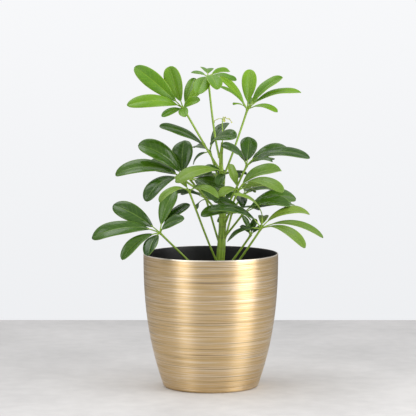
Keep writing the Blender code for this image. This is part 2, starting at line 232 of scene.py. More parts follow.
def concrete():
    """Pale cast concrete: faint clouds, finer specks, hardly any relief, and painted light that makes it
    lighter towards the front.
    """
    made, tree, shader = new_material("concrete", (0.6, 0.59, 0.59), 0.7)
    value = mottle(tree, 7.0, 60.0, 0.3)
    # painted shade and painted light: the back ramp is the concrete in shade, the front ramp the same
    # concrete lit
    back = ramp(tree, value, (0.35, (0.42, 0.415, 0.415)), (0.65, (0.51, 0.50, 0.502)))
    front = ramp(tree, value, (0.35, (0.57, 0.56, 0.558)), (0.65, (0.70, 0.69, 0.685)))
    spot = add_node(tree, "ShaderNodeTexCoord").outputs["Object"]
    depth = add_node(tree, "ShaderNodeSeparateXYZ", {"Vector": spot}).outputs["Y"]
    painted_light_share = add_node(tree, "ShaderNodeMapRange", {"Value": depth, "From Min": TABLE_BACK,
                                                 "From Max": TABLE_FULL_PAINTED_LIGHT})
    colour = mix_colour(tree, painted_light_share.outputs["Result"], back, front)
    tree.links.new(colour, shader.inputs["Base Color"])
    bump(tree, shader, value, 0.1, 0.001)
    return made


def build_table():
    """A flat sheet, cut to the table's four edges."""
    shape = bmesh.new()
    bmesh.ops.create_grid(shape, x_segments=1, y_segments=1, size=0.5)
    depth = TABLE_BACK - TABLE_FRONT
    bmesh.ops.scale(shape, vec=(2 * TABLE_HALF_WIDTH, depth, 1), verts=shape.verts)
    bmesh.ops.translate(shape, vec=(0, TABLE_BACK - depth / 2, 0), verts=shape.verts)
    mesh = bpy.data.meshes.new("table_top")
    shape.to_mesh(mesh)
    shape.free()
    return new_object("table_top", mesh, concrete())


build_table()
print("table ends", TABLE_BACK, "m behind the pot")

# %% World
WALL_LOW = (0.855, 0.865, 0.885)     # the wall's colour just above the table
WALL_HIGH = (0.935, 0.942, 0.958)    # and higher up
ROOM_FLOOR = 0.22              # light from below the horizon
ROOM_MIDDLE = 0.40             # light from the horizon
ROOM_CEILING = 0.85            # light from overhead
HAZE_LOW, HAZE_HIGH = -0.15, 0.01    # the wall's colour changes between these slopes of the view


def light_world():
    """The camera sees the wall's colour, and the plant is lit by a room that is brighter overhead."""
    world = bpy.data.worlds.new("studio")
    world.use_nodes = True
    bpy.context.scene.world = world
    tree = world.node_tree
    tree.nodes.clear()
    way = add_node(tree, "ShaderNodeTexCoord").outputs["Generated"]
    height = add_node(tree, "ShaderNodeSeparateXYZ", {"Vector": way}).outputs["Z"]
    share = add_node(tree, "ShaderNodeMapRange", {"Value": height, "From Min": -1.0, "From Max": 1.0})
    shade = ramp(tree, share.outputs["Result"], (0.4, (ROOM_FLOOR,) * 3), (0.55, (ROOM_MIDDLE,) * 3),
                 (0.85, (ROOM_CEILING,) * 3))
    climb = add_node(tree, "ShaderNodeMapRange", {"Value": height, "From Min": HAZE_LOW,
                                                  "From Max": HAZE_HIGH})
    colour = ramp(tree, climb.outputs["Result"], (0.0, WALL_LOW), (1.0, WALL_HIGH))
    wall = add_node(tree, "ShaderNodeBackground", {"Color": colour, "Strength": 1.0})
    room = add_node(tree, "ShaderNodeBackground", {"Color": shade, "Strength": 1.0})
    path = tree.nodes.new("ShaderNodeLightPath")
    both = tree.nodes.new("ShaderNodeMixShader")
    leave = tree.nodes.new("ShaderNodeOutputWorld")
    tree.links.new(path.outputs["Is Camera Ray"], both.inputs[0])
    tree.links.new(room.outputs[0], both.inputs[1])
    tree.links.new(wall.outputs[0], both.inputs[2])
    tree.links.new(both.outputs[0], leave.inputs["Surface"])


light_world()
print("world:", bpy.context.scene.world.name)

# %% [markdown]
# ### The softboxes
#
# An area light is a softbox: its size sets how soft the shadows are and how broad the band is that it draws
# down the metal. Each one is placed on a bearing from the camera's side of the pot, and the camera doesn't
# see it.

# %% Softboxes
LIGHT_AIM = Vector((0, 0, 0.15))     # the softboxes look at the middle of the whole


def softbox(name, bearing, distance, height, width, tall, power):
    """An area light on a bearing, in degrees to the right of the camera, aimed at the plant."""
    data = bpy.data.lights.new(name, "AREA")
    data.shape = "RECTANGLE"
    data.size, data.size_y = width, tall
    data.energy = power
    made = bpy.data.objects.new(name, data)
    bpy.context.scene.collection.objects.link(made)
    place = Vector((sin(radians(bearing)) * distance, -cos(radians(bearing)) * distance, height))
    made.location = place
    made.rotation_euler = (LIGHT_AIM - place).to_track_quat("-Z", "Y").to_euler()
    made.visible_camera = False


softbox("softbox_right", bearing=62, distance=1.5, height=0.60, width=0.95, tall=1.6, power=20)
softbox("softbox_left", bearing=-47, distance=1.7, height=0.60, width=0.68, tall=1.6, power=9)
softbox("softbox_above", bearing=-110, distance=0.5, height=1.5, width=1.0, tall=1.0, power=8)
bpy.context.scene.view_settings.view_transform = "Standard"

# %% [markdown]
# ## The cover pot
#
# The pot is thin sheet metal, spun over a form: a barrel that is widest at its rim, with a rounded foot and
# a flat floor. Spinning is what we do as well. One half section, from the middle of the floor up the inner
# wall, over the lip and down the outside, is turned once round the axis. The wall's radius follows a
# formula, so that the curve is smooth at any number of points, and the CAD node gives its height and its
# radius at the rim.

# %% Pot shape
POT_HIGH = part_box("cover_pot")[1]
POT_HEIGHT = POT_HIGH[2]
POT_RIM_RADIUS = POT_HIGH[0]
POT_BASE_RADIUS = 49 * MM
POT_BELLY = 2.4                # 1 is a straight cone; more keeps the wall upright for longer below the rim
POT_WALL = 1.6 * MM
POT_FOOT_ROUND = 3 * MM
WALL_STEPS = 30                # points up the wall
CORNER_STEPS = 8               # points round the lip and round the foot
SPIN_STEPS = 160
MERGE_DISTANCE = 0.01 * MM


def pot_wall_radius(height):
    """Outer radius of the cover pot at a height."""
    depth = 1 - height / POT_HEIGHT
    return POT_RIM_RADIUS - (POT_RIM_RADIUS - POT_BASE_RADIUS) * depth ** POT_BELLY


def arc(middle_radius, middle_height, size, start, end, steps):
    """Points on a rounded corner of a half section, from one angle to another."""
    turns = [radians(start + (end - start) * step / steps) for step in range(steps + 1)]
    return [(middle_radius + size * cos(turn), middle_height + size * sin(turn)) for turn in turns]


def pot_half_section():
    """(radius, height) of each corner, from the middle of the floor inside to the middle underneath."""
    lip = POT_WALL / 2
    wall = POT_HEIGHT - lip - POT_FOOT_ROUND
    levels = [POT_FOOT_ROUND + wall * step / WALL_STEPS for step in range(WALL_STEPS + 1)]
    inside = [(pot_wall_radius(level) - POT_WALL, level) for level in levels]
    outside = [(pot_wall_radius(level), level) for level in reversed(levels)]
    rim = arc(POT_RIM_RADIUS - lip, POT_HEIGHT - lip, lip, 180, 0, CORNER_STEPS)[1:-1]
    foot_middle = pot_wall_radius(POT_FOOT_ROUND) - POT_FOOT_ROUND
    foot = arc(foot_middle, POT_FOOT_ROUND, POT_FOOT_ROUND, 0, -90, CORNER_STEPS)[1:]
    floor = [(0, POT_WALL), (inside[0][0] - 2 * POT_WALL, POT_WALL)]
    return floor + inside + rim + outside + foot + [(0, 0)]


def spin_solid(name, outline, steps, *materials):
    """Turn a half section once round the Z axis and close it on the axis."""
    shape = bmesh.new()
    corners = [shape.verts.new((radius, 0, height)) for radius, height in outline]
    for first, second in zip(corners, corners[1:]):
        shape.edges.new((first, second))
    bmesh.ops.spin(shape, geom=shape.verts[:] + shape.edges[:], cent=(0, 0, 0), axis=(0, 0, 1),
                   dvec=(0, 0, 0), angle=2 * pi, steps=steps, use_merge=True, use_duplicate=False)
    bmesh.ops.remove_doubles(shape, verts=shape.verts, dist=MERGE_DISTANCE)
    bmesh.ops.recalc_face_normals(shape, faces=shape.faces)
    for face in shape.faces:
        face.smooth = True
    mesh = bpy.data.meshes.new(name)
    shape.to_mesh(mesh)
    shape.free()
    mesh.set_sharp_from_angle(angle=radians(50))
    return new_object(name, mesh, *materials)


print("pot height", round(POT_HEIGHT, 4), "rim radius", round(POT_RIM_RADIUS, 4))

# %% [markdown]
# ### Brushed gold
#
# The outside was brushed while the pot turned, so every scratch runs round it, long and thin. Stretching
# noise gives such scratches: it is squeezed hard along Z and hardly at all around the pot. Three layers are
# used, as on the real finish: broad worn bands where a silvery metal shows, fine bright lines, and sparse
# thin dark brown lines. The fine lines also drive the roughness and a little bump. Round the very lip a pale
# band is a painted highlight, laid over the gold. Brushed metal stretches its highlights across the
# scratches, which is what the shader's anisotropic value does.

# %% Gold finish
GOLD = (0.68, 0.485, 0.24)
SILVER = (0.88, 0.80, 0.69)
BROWN = (0.22, 0.13, 0.06)
LIP_HIGHLIGHT_DEPTH = 1.3 * MM            # a painted highlight runs round the lip this far down


def brushed_lines(tree, around, along_axis, offset):
    """Noise drawn out into lines that run round the pot."""
    spot = add_node(tree, "ShaderNodeTexCoord").outputs["Object"]
    stretched = add_node(tree, "ShaderNodeMapping", {
        "Vector": spot, "Scale": (around, around, along_axis), "Location": (offset, offset, offset)})
    lines = add_node(tree, "ShaderNodeTexNoise", {"Vector": stretched.outputs["Vector"], "Scale": 1.0,
                                                  "Detail": 4.0, "Roughness": 0.6})
    return lines.outputs["Fac"]


def brushed_gold():
    """Gold with worn bands, bright lines and dark scratches, and a painted highlight at the lip."""
    made, tree, shader = new_material("brushed_gold", GOLD, 0.4, Metallic=1.0, Anisotropic=0.8,
                                      Anisotropic_Rotation=0.25)
    bands = brushed_lines(tree, around=8, along_axis=950, offset=3.1)
    fine = brushed_lines(tree, around=15, along_axis=2300, offset=7.7)
    dark = brushed_lines(tree, around=10, along_axis=1600, offset=12.3)
    worn = ramp(tree, bands, (0.50, (0, 0, 0)), (0.70, (0.5, 0.5, 0.5)))
    bright = ramp(tree, fine, (0.52, (0, 0, 0)), (0.66, (0.9, 0.9, 0.9)))
    scratch = ramp(tree, dark, (0.54, (0, 0, 0)), (0.66, (0.7, 0.7, 0.7)))
    colour = mix_colour(tree, worn, GOLD, SILVER)
    colour = mix_colour(tree, bright, colour, SILVER)
    colour = mix_colour(tree, scratch, colour, BROWN)
    # painted highlight: a pale band round the lip, mixed over the gold by height
    spot = add_node(tree, "ShaderNodeTexCoord").outputs["Object"]
    height = add_node(tree, "ShaderNodeSeparateXYZ", {"Vector": spot}).outputs["Z"]
    lip = add_node(tree, "ShaderNodeMapRange", {"Value": height, "From Min": POT_HEIGHT - LIP_HIGHLIGHT_DEPTH,
                                                "From Max": POT_HEIGHT - 0.5 * LIP_HIGHLIGHT_DEPTH})
    colour = mix_colour(tree, lip.outputs["Result"], colour, SILVER)
    tree.links.new(colour, shader.inputs["Base Color"])
    rough = add_node(tree, "ShaderNodeMapRange", {"Value": fine, "From Min": 0.3, "From Max": 0.7,
                                                  "To Min": 0.34, "To Max": 0.52})
    tree.links.new(rough.outputs["Result"], shader.inputs["Roughness"])
    bump(tree, shader, fine, 0.2, 0.0002)
    return made


GOLD_FINISH = brushed_gold()
print("finish:", GOLD_FINISH.name)

# %% [markdown]
# ### Satin black, and the pot itself
#
# Inside, the pot is lacquered black, and the nursery pot in it is black plastic: one dark satin finish does
# for both. It is not quite even, so that the light has something to catch on. The gold ends at the lip's
# inner edge, so the faces that lie deeper than the wall's outer side take the black.

# %% Black finish and cover pot
def satin_black():
    """Near black, with slight changes of tone and gloss."""
    made, tree, shader = new_material("satin_black", (0.012, 0.012, 0.013), 0.42)
    value = mottle(tree, 60.0, 900.0, 0.5)
    rough = add_node(tree, "ShaderNodeMapRange", {"Value": value, "To Min": 0.34, "To Max": 0.52})
    tree.links.new(rough.outputs["Result"], shader.inputs["Roughness"])
    colour = ramp(tree, value, (0.35, (0.009, 0.009, 0.01)), (0.7, (0.018, 0.018, 0.019)))
    tree.links.new(colour, shader.inputs["Base Color"])
    bump(tree, shader, value, 0.08, 0.0002)
    return made


BLACK = satin_black()
INSIDE_MARGIN = POT_WALL * 0.75      # a face this far inside the wall's outer side is black
cover_pot = spin_solid("gold_cover_pot", pot_half_section(), SPIN_STEPS, GOLD_FINISH, BLACK)
for face in cover_pot.data.polygons:
    middle = face.center
    deep = (middle.x ** 2 + middle.y ** 2) ** 0.5 < pot_wall_radius(middle.z) - INSIDE_MARGIN
    if deep and middle.z > POT_WALL / 2:
        face.material_index = 1
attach(cover_pot, "root")
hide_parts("cover_pot")
print("cover pot faces:", len(cover_pot.data.polygons))

# %% [markdown]
# ## The leaves: what they are measured by
#
# Each leaf is written down the way a gardener would measure it. `foot` is the height at which its stalk
# leaves the stem, `knob` is where the leaflets meet and `facing` is the way the open whorl looks. Each
# leaflet is given by five figures: where its tip lies from the knob (right, back, up), how many degrees it
# bends on the way, and how wide its blade is as a percentage of its length. These are the CAD model's own
# figures, in millimetres. `tone` says how old the leaf is: `young` is still opening, `bright` is fresh and
# yellowish, `light` is a little older and `dark` is old and glossy. A `dark` list picks out single
# leaflets, counted from nought, that take the dark finish instead of their whorl's own; in `upper_middle`
# this is painted shade, for two leaflets that lie in the whorl's shade. The stem's route has a line for
# each bend: right, back, up and the stem's radius.

# %% Leaf figures
STEM_ROUTE = (
    (7.0, 0.0, 55.0, 5.0),
    (8.0, 0.0, 100.0, 5.0),
    (10.0, 0.0, 132.0, 4.6),
    (12.0, 1.0, 165.0, 4.0),
    (12.0, 1.0, 200.0, 3.0),
    (10.5, 1.5, 235.0, 2.1),
    (12.0, 2.0, 254.0, 1.5),
)
LEAVES = {
    "top_left": dict(
        tone="bright", foot=226, knob=(-28, -8, 289), facing=(-0.25, -0.85, 0.5),
        leaflets=((-50, 2, 43, 50, 35), (-15, 10, 43, 30, 48), (-57, -28, 5, 80, 31),
                  (-22, -18, -7, 60, 38), (11, 20, 31, 25, 36), (24, 2, 28, 30, 36),
                  (17, -22, 10, 60, 44), (2, -27, -7, 60, 46))),
    "top_middle": dict(
        tone="bright", foot=238, knob=(-3, 0, 322), facing=(0.1, -0.45, 0.9),
        leaflets=((-10, -35, -17, 60, 52), (9, -37, -12, 60, 50), (-17, 14, 4, 30, 40),
                  (22, 18, 5, 40, 40), (29, -6, -4, 60, 36), (-2, 40, 6, 40, 44))),
    "top_right": dict(
        tone="bright", foot=218, knob=(38, 20, 287), facing=(0.05, -0.4, 0.92),
        leaflets=((3, 18, 41, 20, 44), (37, 8, 33, 45, 38), (56, 12, 17, 70, 26), (31, -14, -2, 70, 34),
                  (-29, 10, 34, 40, 28), (-31, -14, 25, 40, 24), (-15, -18, 6, 50, 40),
                  (10, 38, 8, 60, 44))),
    "newest": dict(
        tone="young", foot=254, knob=(12, 5, 278), facing=(0.0, -0.1, 1.0),
        leaflets=((-9, 0, -4, 90, 40), (10, 0, -4, 90, 40), (2, -8, -3, 90, 40), (3, 8, 1, 60, 40))),
    "upper_left": dict(
        tone="dark", foot=214, knob=(-1, 6, 244), facing=(-0.3, -0.4, 0.86),
        leaflets=((-52, -8, 27, 50, 34), (19, 18, 29, 60, 44), (27, -40, 17, 80, 44),
                  (-16, 32, 2, 60, 44), (-17, 14, -14, 60, 44))),
    "upper_middle": dict(
        # painted shade: leaflets 1 and 2 take the dark finish to stand for the shade they lie in
        tone="light", foot=192, knob=(14, -18, 224), facing=(-0.1, -0.6, 0.80), dark=(1, 2),
        leaflets=((-50, -22, -8, 80, 38), (-6, -14, -12, 60, 70), (-24, 3, 3, 70, 56))),
    "upper_right": dict(
        tone="dark", foot=184, knob=(37, 4, 229), facing=(0.2, -0.5, 0.84),
        leaflets=((3, 22, 29, 30, 62), (-26, -22, 22, 60, 50), (-8, 38, 14, 40, 44),
                  (46, 14, 14, 100, 44), (65, -8, 9, 85, 32), (26, -22, 6, 60, 36), (26, 38, 4, 60, 44))),
    "left": dict(
        tone="dark", foot=190, knob=(-29, 22, 214), facing=(-0.3, -0.6, 0.74),
        leaflets=((-46, -12, 37, 85, 46), (-70, -10, 5, 90, 36), (1, 10, 40, 40, 74),
                  (-38, 36, 14, 50, 44), (-38, -34, -20, 90, 46), (8, 38, 6, 60, 44))),
    "front_left": dict(
        tone="light", foot=128, knob=(-22, -34, 206), facing=(-0.1, -0.5, 0.86),
        leaflets=((-30, -20, -9, 100, 32), (30, -20, -5, 100, 34), (-14, 16, 14, 60, 40),
                  (18, 18, 2, 60, 40))),
    "middle": dict(
        tone="dark", foot=180, knob=(-21, -8, 216), facing=(0.1, -0.7, 0.72),
        leaflets=((34, -8, -9, 80, 50), (28, -30, -20, 70, 40), (22, -2, 8, 60, 46), (4, 32, 6, 50, 44))),
    "front_right": dict(
        tone="light", foot=168, knob=(28, -22, 206), facing=(0.2, -0.5, 0.84),
        leaflets=((44, -2, 20, 90, 46), (45, -36, 1, 90, 36), (34, 20, 2, 60, 42), (-10, -6, 27, 20, 56),
                  (-20, -18, -4, 80, 46), (16, 34, -4, 60, 42))),
    "right": dict(
        tone="dark", foot=156, knob=(33, -14, 181), facing=(0.2, -0.5, 0.84),
        leaflets=((55, 14, 15, 85, 44), (48, -16, 9, 80, 42), (52, 38, 6, 60, 42), (-43, -20, 0, 60, 42),
                  (-30, -10, 14, 70, 46), (-4, 34, 16, 50, 44))),
    "low_right": dict(
        tone="light", foot=107, knob=(51, -36, 168), facing=(0.1, -0.4, 0.91), dark=(4, 6),
        leaflets=((50, 10, 14, 90, 34), (63, -12, -8, 80, 24), (43, -44, -15, 70, 28),
                  (-28, -24, 37, 100, 24), (-54, -12, 20, 90, 40), (4, 32, 10, 50, 40),
                  (-34, 4, -14, 80, 30))),
    "low_right_small": dict(
        tone="dark", foot=118, knob=(41, -20, 160), facing=(0.0, -0.5, 0.86),
        leaflets=((-9, -6, 20, 30, 44), (5, 14, 15, 20, 44), (13, 2, 9, 40, 44), (-10, 12, 8, 40, 44))),
    "low_left": dict(
        tone="dark", foot=104, knob=(-52, -30, 163), facing=(-0.35, -0.7, 0.62),
        leaflets=((-48, 6, 28, 70, 44), (-69, -12, -4, 80, 34), (-38, -22, -25, 70, 36),
                  (-11, -32, -20, 50, 52), (15, 12, 43, 50, 46), (30, 14, 28, 60, 38),
                  (25, -26, 17, 60, 46))),
    "back_left": dict(
        tone="dark", foot=148, knob=(-5, 26, 193), facing=(-0.2, 0.45, 0.87),
        leaflets=((-36, 2, 4, 60, 42), (-26, 28, 2, 60, 44), (-10, -14, -10, 60, 44),
                  (4, 36, -4, 60, 44))),
    "back_middle": dict(
        tone="dark", foot=176, knob=(8, 34, 214), facing=(0.0, 0.3, 0.95),
        leaflets=((-28, 10, 4, 60, 44), (6, -22, 10, 60, 44), (30, 2, 4, 60, 44), (22, 34, -2, 60, 44),
                  (-10, 42, -4, 60, 44))),
    "back_right": dict(
        tone="dark", foot=172, knob=(34, 36, 196), facing=(0.2, -0.3, 0.93),
        leaflets=((28, -10, 8, 60, 46), (36, 22, 0, 70, 44), (6, 38, 0, 70, 44), (-26, 22, 2, 60, 44),
                  (-18, -16, -2, 60, 44))),
    "back_low": dict(
        tone="dark", foot=141, knob=(22, 44, 176), facing=(0.0, 0.35, 0.93),
        leaflets=((-14, -14, -8, 60, 44), (20, -14, -6, 60, 44), (30, 18, 2, 60, 44), (0, 36, 0, 70, 44),
                  (-30, 16, 0, 60, 44))),
}
print("leaves:", len(LEAVES), "leaflets:", sum(len(leaf["leaflets"]) for leaf in LEAVES.values()))

# %% [markdown]
# ## Skin for stem and stalks
#
# A fresh stem is not one green. It is streaked along its length, brownish and corky at the soil, and an old
# leaf leaves a thin brown scar round it. The streaks come from noise that is stretched along the stem,
# which the piece's own UV map makes easy: U runs along a rod and V round it. The scars are evenly spaced
# bands of height, with noise added to the height so that they wander and break up.

# %% Stem and stalk finishes
RING_SPACING = 11 * MM         # between the scars of old leaves on the stem
SCAR_WANDER = 9 * MM           # how far a scar strays from its level
SCAR_COLOUR = (0.13, 0.11, 0.03)
CORK_COLOUR = (0.12, 0.085, 0.03)
CORK_REACH = 0.3               # the cork has faded out at this share of the rod's length
STREAKS = (6.0, 9.0, 1.0)      # along the rod and round it


def skin(name, dark, light, cork, scars=0.0):
    """Satin plant skin with streaks along it, corky at the rod's start and brown at its leaf scars."""
    made, tree, shader = new_material(name, light, 0.42)
    spot = add_node(tree, "ShaderNodeUVMap").outputs["UV"]
    stretched = add_node(tree, "ShaderNodeMapping", {"Vector": spot, "Scale": STREAKS})
    streaks = add_node(tree, "ShaderNodeTexNoise", {"Vector": stretched.outputs["Vector"], "Scale": 1.5,
                                                    "Detail": 4.0}).outputs["Fac"]
    colour = ramp(tree, streaks, (0.35, dark), (0.65, light))
    place = add_node(tree, "ShaderNodeSeparateXYZ", {"Vector": spot}).outputs["X"]
    fade = ramp(tree, place, (0.0, (cork,) * 3), (CORK_REACH, (0, 0, 0)))
    colour = mix_colour(tree, fade, colour, CORK_COLOUR)
    if scars:
        solid = add_node(tree, "ShaderNodeTexCoord").outputs["Object"]
        height = add_node(tree, "ShaderNodeSeparateXYZ", {"Vector": solid}).outputs["Z"]
        stray = math_node(tree, "MULTIPLY", mottle(tree, 90.0, 500.0, 0.3), SCAR_WANDER)
        height = math_node(tree, "ADD", height, stray)
        beat = math_node(tree, "FRACT", math_node(tree, "DIVIDE", height, RING_SPACING))
        off_ring = math_node(tree, "ABSOLUTE", math_node(tree, "SUBTRACT", beat, 0.5))
        ring = ramp(tree, off_ring, (0.02, (scars,) * 3), (0.12, (0, 0, 0)))
        colour = mix_colour(tree, ring, colour, SCAR_COLOUR)
    tree.links.new(colour, shader.inputs["Base Color"])
    grain = mottle(tree, 300.0, 1800.0, 0.5)
    bump(tree, shader, grain, 0.3, 0.0003)
    return made


STEM_SKIN = skin("stem_skin", dark=(0.16, 0.31, 0.02), light=(0.40, 0.57, 0.05), cork=0.8, scars=0.35)
STALK_SKIN = skin("stalk_skin", dark=(0.22, 0.38, 0.03), light=(0.36, 0.52, 0.07), cork=0.1)
print("skins:", STEM_SKIN.name, STALK_SKIN.name)

# %% [markdown]
# ## A sheet carried to its place, and a rod that follows a route
#
# Every living part here starts as the same thing: a flat grid. Each vertex knows how far it is along the
# sheet and how far across it, and a small function says where that point of the real surface lies. The
# grid's own flat coordinates are kept as the UV map, so veins and streaks follow the shape for nothing.
#
# Stem, leaf stalks and the little stalks of the leaflets are rods. A rod is a sheet rolled up round its
# route: the place along picks a ring, the place across is a turn round it, the two long edges are welded,
# and the two ends are closed.

# %% Sheet builder
def add_sheet(shape, rows, columns, place, finish=0):
    """Add a flat grid and carry each vertex to place(along, across). Both run from 0 to 1."""
    grid = bmesh.ops.create_grid(shape, x_segments=rows, y_segments=columns, size=0.5)["verts"]
    uv = shape.loops.layers.uv.verify()
    for face in {face for corner in grid for face in corner.link_faces}:
        face.smooth = True
        face.material_index = finish
        for loop in face.loops:
            loop[uv].uv = (loop.vert.co.x + 0.5, loop.vert.co.y + 0.5)
    for corner in grid:
        corner.co = place(corner.co.x + 0.5, corner.co.y + 0.5)
    return grid


print("ready:", add_sheet.__name__)

# %% Rod builder
WELD_DISTANCE = 0.001 * MM     # for the two edges of a rolled sheet, which lie on each other


def smooth_route(points, steps):
    """Catmull-Rom points through a list of vectors."""
    padded = [2 * points[0] - points[1], *points, 2 * points[-1] - points[-2]]
    route = []
    for before, start, end, after in zip(padded, padded[1:], padded[2:], padded[3:]):
        for step in range(steps):
            t = step / steps
            route.append(0.5 * (2 * start + (end - before) * t
                                + (2 * before - 5 * start + 4 * end - after) * t * t
                                + (3 * start - before - 3 * end + after) * t ** 3))
    route.append(points[-1].copy())
    return route


def frames_along(route):
    """Two directions across the route at each point, carried along it without twist."""
    ends = zip([route[0]] + route[:-1], route[1:] + [route[-1]])
    ahead = [(after - before).normalized() for before, after in ends]
    side = ahead[0].orthogonal().normalized()
    frames = []
    for direction in ahead:
        side = (side - side.dot(direction) * direction).normalized()
        frames.append((side, direction.cross(side)))
    return frames


def add_rod(shape, route, widths, sides, finish=0):
    """Add a closed rod along a route to a bmesh, with its radius at each point of the route."""
    lengths = len(route) - 1
    frames = frames_along(route)

    def place(along, across):
        stop = round(along * lengths)
        side, other = frames[stop]
        turn = 2 * pi * across
        return route[stop] + (side * cos(turn) + other * sin(turn)) * widths[stop]

    skin = add_sheet(shape, lengths, sides, place, finish)
    bmesh.ops.remove_doubles(shape, verts=skin, dist=WELD_DISTANCE)
    rims = [edge for edge in shape.edges if edge.is_boundary]
    for face in bmesh.ops.holes_fill(shape, edges=rims, sides=0)["faces"]:
        face.smooth = True
        face.material_index = finish


def finish_mesh(name, shape, *materials):
    """Turn a bmesh into a smooth object."""
    bmesh.ops.recalc_face_normals(shape, faces=shape.faces)
    mesh = bpy.data.meshes.new(name)
    shape.to_mesh(mesh)
    shape.free()
    mesh.set_sharp_from_angle(angle=radians(60))
    return new_object(name, mesh, *materials)


print("ready:", smooth_route.__name__, add_rod.__name__, finish_mesh.__name__)

# %% [markdown]
# ## The stem
#
# The stem swells a little wherever a leaf stalk leaves it, and the scars of old leaves stand out as shallow
# rings. Both are changes of the rod's radius along its route, each a bell curve round its own height.

# %% Build the stem
STEM_STEPS = 24                # rings of corners in each span of the route
STEM_SIDES = 24
PLAIN_SHARE = 0.97             # thinner than the CAD stem, so that swellings and rings stay within it
SWELLING, SWELLING_REACH = 0.05, 2.5 * MM    # height, as a share of the radius, and reach up and down
RING, RING_REACH = 0.02, 0.9 * MM            # the same for a ring


def stem_at(height):
    """Middle and radius of the main stem at a height."""
    for low, high in zip(STEM_ROUTE, STEM_ROUTE[1:]):
        if height <= high[2] * MM:
            break
    share = (height / MM - low[2]) / (high[2] - low[2])
    x, y, _, radius = (a + (b - a) * share for a, b in zip(low, high))
    return Vector((x * MM, y * MM, height)), radius * MM


def stem_radius(height):
    """The stem's plain radius, with a swelling at each leaf's foot and shallow rings."""
    radius = stem_at(height)[1]
    swelling = sum(exp(-((height - leaf["foot"] * MM) / SWELLING_REACH) ** 2) for leaf in LEAVES.values())
    ring = exp(-((height % RING_SPACING - RING_SPACING / 2) / RING_REACH) ** 2)
    return radius * (PLAIN_SHARE + SWELLING * min(swelling, 1) + RING * ring)


def build_stem():
    """One rod along the stem's route."""
    points = [Vector(stop[:3]) * MM for stop in STEM_ROUTE]
    route = smooth_route(points, STEM_STEPS)
    shape = bmesh.new()
    add_rod(shape, route, [stem_radius(place.z) for place in route], STEM_SIDES)
    return finish_mesh("stem", shape, STEM_SKIN)


stem = build_stem()
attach(stem, "root")
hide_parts("main_stem")
print("stem faces:", len(stem.data.polygons))

# %% [markdown]
# ## The leaf stalks
#
# Each stalk leaves the stem with a broad base that half clasps it, runs almost straight, and thickens again
# just under the knob. Its route is one Bezier curve between the same two ends as in the CAD model.

# %% Build the leaf stalks
PETIOLE_RADIUS = 1.15 * MM
YOUNG_PETIOLE_RADIUS = 0.6 * MM
STALK_STEPS = 28
STALK_SIDES = 14
BASE_FLARE, BASE_REACH = 0.55, 3 * MM      # how much wider a stalk is at its foot, and how far along
NECK_FLARE, NECK_REACH = 0.3, 2.5 * MM     # the same just under the knob
PLAIN_STALK = 0.95             # thinner than the CAD stalk between its two flares
CLASP = 0.8                    # a stalk starts at this share of the stem's radius
STRAIGHTNESS = 5               # how much its ends keep to the straight line between them
HANDLE = 0.25                  # length of the curve's two handles, as a share of the stalk's
KNOB_OVERLAP = 0.3 * MM        # it ends this far behind the knob's middle
UP = Vector((0, 0, 1))


def stalk_route(leaf):
    """Centre line of a leaf stalk from inside the stem's skin to the back of the knob, and its radii."""
    young = leaf["tone"] == "young"
    radius = YOUNG_PETIOLE_RADIUS if young else PETIOLE_RADIUS
    facing = Vector(leaf["facing"]).normalized()
    knob = Vector(leaf["knob"]) * MM
    middle, stem_width = stem_at(leaf["foot"] * MM)
    direct = (knob - middle).normalized()
    outward = Vector((direct.x, direct.y, 0)).normalized()
    leave = UP if young else (outward + UP + STRAIGHTNESS * direct).normalized()
    start = middle if young else middle + outward * stem_width * CLASP
    arrive = (facing + STRAIGHTNESS * direct).normalized()
    end = knob - facing * KNOB_OVERLAP
    reach = (end - start).length
    first = start + leave * reach * HANDLE
    last = end - arrive * reach * HANDLE
    route, widths = [], []
    for step in range(STALK_STEPS + 1):
        t = step / STALK_STEPS
        route.append(start * (1 - t) ** 3 + first * 3 * t * (1 - t) ** 2
                     + last * 3 * t * t * (1 - t) + end * t ** 3)
        flare = BASE_FLARE * exp(-t * reach / BASE_REACH) + NECK_FLARE * exp(-(1 - t) * reach / NECK_REACH)
        widths.append(radius * (PLAIN_STALK + (0 if young else flare)))
    return route, widths


def build_stalk(name, leaf):
    """One leaf's stalk."""
    shape = bmesh.new()
    route, widths = stalk_route(leaf)
    add_rod(shape, route, widths, STALK_SIDES)
    return finish_mesh(f"leaf_stalk_{name}", shape, STALK_SKIN)


for name, leaf in LEAVES.items():
    stalk = build_stalk(name, leaf)
    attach(stalk, "root")
    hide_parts(f"petiole_{name}")
print("leaf stalks:", len(LEAVES))

# %% [markdown]
# ## Leaf finish
#
# The upper side of a schefflera leaflet is waxy: smooth and green, with a pale midrib and faint side veins
# that climb from it towards the tip. The underside is matt and paler, and the midrib stands out. A node
# group draws the veins from the blade's UV map, where U runs from base to tip and V from edge to edge, so
# every leaf material can use it with its own colours.

# %% Node group: leaf veins
VEIN_COUNT = 9.0               # side veins on each side of the midrib
VEIN_LEAN = 0.38               # how far each one climbs towards the tip on its way to the edge
VEIN_WIDTH = 0.09              # as a share of the distance between two veins
MIDRIB_WIDTH = 0.055           # at the blade's base, as a share of its width
MIDRIB_TAPER = 0.035           # how much less it is at the tip


